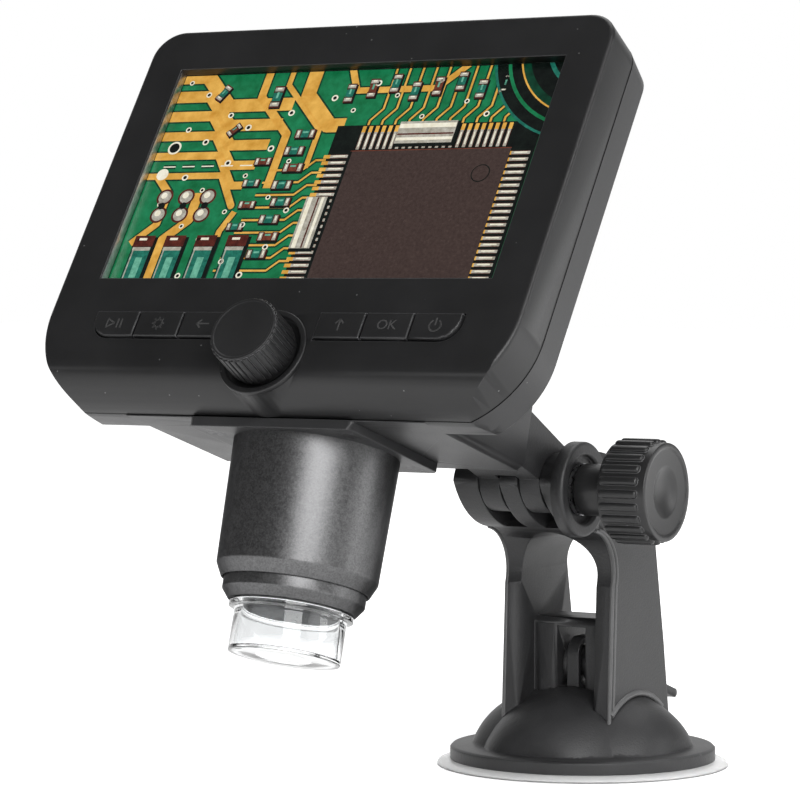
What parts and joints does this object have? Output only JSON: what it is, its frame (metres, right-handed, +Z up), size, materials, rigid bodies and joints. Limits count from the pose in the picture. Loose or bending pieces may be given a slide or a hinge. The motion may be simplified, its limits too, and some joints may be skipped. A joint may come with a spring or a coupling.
{
  "type": "lcd digital microscope",
  "caption": "Digital microscope: leaning screen head with keys, focus knob, lamp-ringed lens barrel and clear nose cap, clamped by a thumb knob on a two-legged suction stand.",
  "frame": {"origin": "centre of the suction cup on the table", "axes": "+Z up, screen faces -Y, +X to the user's right"},
  "size_m": [0.123, 0.1324, 0.1609],
  "materials": {
    "shell_black": "fine satin moulded finish",
    "stand_black": "satin moulded finish",
    "key_black": "satin",
    "knob_black": "satin, ribbed",
    "barrel_black": "satin black",
    "clear_cap": "clear polished plastic",
    "cup_clear": "clear soft vinyl",
    "screen_glass": "polished",
    "sheet_steel": "bright",
    "light_guide": "milky",
    "board_green": "solder mask",
    "chip_black": "matt",
    "switch_metal": "plain",
    "foil": "foil pouch",
    "lamp_white": "clear lens",
    "lens_glass": "coated",
    "screw_steel": "zinc plated",
    "pinion_white": "acetal"
  },
  "bodies": {
    "stand": {"stand_yoke": "stand_black", "base_dome": "stand_black", "suction_cup": "cup_clear", "lever_pin": "screw_steel", "hex_nut": "screw_steel"},
    "head": {"front_shell": "shell_black", "rear_shell": "shell_black", "screen_frame": "sheet_steel", "screen_panel": "screen_glass", "backlight": "light_guide", "main_board": "board_green", "board_chips": "chip_black", "key_board": "board_green", "key_switches": "switch_metal", "battery_cell": "foil", "usb_socket": "switch_metal", "card_socket": "switch_metal", "dimmer_pot": "chip_black", "sensor_board": "board_green", "image_sensor": "chip_black", "flange_plate": "barrel_black", "lens_barrel": "barrel_black", "nose_ring": "barrel_black", "lamp_board": "board_green", "lamps": "lamp_white", "hinge_arm": "stand_black", "shell_screws": "screw_steel", "plate_screws": "screw_steel", "arm_screws": "screw_steel"},
    "focus": {"focus_knob": "knob_black", "focus_shaft": "screw_steel", "focus_pinion": "pinion_white", "shaft_clip": "screw_steel"},
    "lens_carriage": {"lens_tube": "barrel_black", "objective_lens": "lens_glass"},
    "key_play": {"key_play": "key_black"},
    "key_menu": {"key_menu": "key_black"},
    "key_left": {"key_left": "key_black"},
    "key_up": {"key_up": "key_black"},
    "key_ok": {"key_ok": "key_black"},
    "key_power": {"key_power": "key_black"},
    "dimmer": {"dimmer_wheel": "knob_black"},
    "cap": {"nose_cap": "clear_cap"},
    "clamp_slide": {"thrust_washer": "screw_steel"},
    "clamp_knob": {"thumb_knob": "knob_black", "hinge_bolt": "screw_steel"},
    "lever": {"lock_lever": "stand_black"},
    "stem": {"cup_stem": "stand_black"}
  },
  "joints": [
    {"name": "head_tilt", "type": "hinge", "parent": "stand", "child": "head", "pos_m": [0, -0.0259, 0.062], "axis": [1, 0, 0], "range_deg": [-45, 30]},
    {"name": "focus_turn", "type": "hinge", "parent": "head", "child": "focus", "pos_m": [-0.03, -0.0814, 0.09154], "axis": [0, -0.8339, 0.5519], "range_deg": [-62.5, 62.5]},
    {"name": "lens_slide", "type": "slide", "parent": "head", "child": "lens_carriage", "axis": [0, 0.2874, 0.9578], "range_m": [-0.0034, 0.0034]},
    {"name": "key_play_press", "type": "slide", "parent": "head", "child": "key_play", "axis": [0, 0.8339, -0.5519], "range_m": [0, 0.0005], "stiffness_N_per_m": 400, "springref_m": -0.001},
    {"name": "key_menu_press", "type": "slide", "parent": "head", "child": "key_menu", "axis": [0, 0.8339, -0.5519], "range_m": [0, 0.0005], "stiffness_N_per_m": 400, "springref_m": -0.001},
    {"name": "key_left_press", "type": "slide", "parent": "head", "child": "key_left", "axis": [0, 0.8339, -0.5519], "range_m": [0, 0.0005], "stiffness_N_per_m": 400, "springref_m": -0.001},
    {"name": "key_up_press", "type": "slide", "parent": "head", "child": "key_up", "axis": [0, 0.8339, -0.5519], "range_m": [0, 0.0005], "stiffness_N_per_m": 400, "springref_m": -0.001},
    {"name": "key_ok_press", "type": "slide", "parent": "head", "child": "key_ok", "axis": [0, 0.8339, -0.5519], "range_m": [0, 0.0005], "stiffness_N_per_m": 400, "springref_m": -0.001},
    {"name": "key_power_press", "type": "slide", "parent": "head", "child": "key_power", "axis": [0, 0.8339, -0.5519], "range_m": [0, 0.0005], "stiffness_N_per_m": 400, "springref_m": -0.001},
    {"name": "dimmer_turn", "type": "hinge", "parent": "head", "child": "dimmer", "pos_m": [-0.0841, -0.05953, 0.10284], "axis": [0, -0.8339, 0.5519], "range_deg": [-135, 135]},
    {"name": "cap_slide", "type": "slide", "parent": "head", "child": "cap", "axis": [0, -0.2874, -0.9578], "range_m": [0, 0.006]},
    {"name": "clamp_travel", "type": "slide", "parent": "stand", "child": "clamp_slide", "axis": [1, 0, 0], "range_m": [0, 0.0016]},
    {"name": "clamp_turn", "type": "hinge", "parent": "clamp_slide", "child": "clamp_knob", "pos_m": [0, -0.0259, 0.062], "axis": [1, 0, 0], "range_deg": [0, 721]},
    {"name": "lever_turn", "type": "hinge", "parent": "stand", "child": "lever", "pos_m": [0, 0.001, 0.022], "axis": [1, 0, 0], "range_deg": [0, 50.2]},
    {"name": "stem_slide", "type": "slide", "parent": "stand", "child": "stem", "axis": [0, 0, -1], "range_m": [0, 0.00125]}
  ],
  "couplings": [
    {"joint": "focus_turn", "follows": "lens_slide", "rad_per_m": 319.11},
    {"joint": "clamp_turn", "follows": "clamp_travel", "rad_per_m": 7854},
    {"joint": "lever_turn", "follows": "stem_slide", "rad_per_m": 698.13}
  ]
}
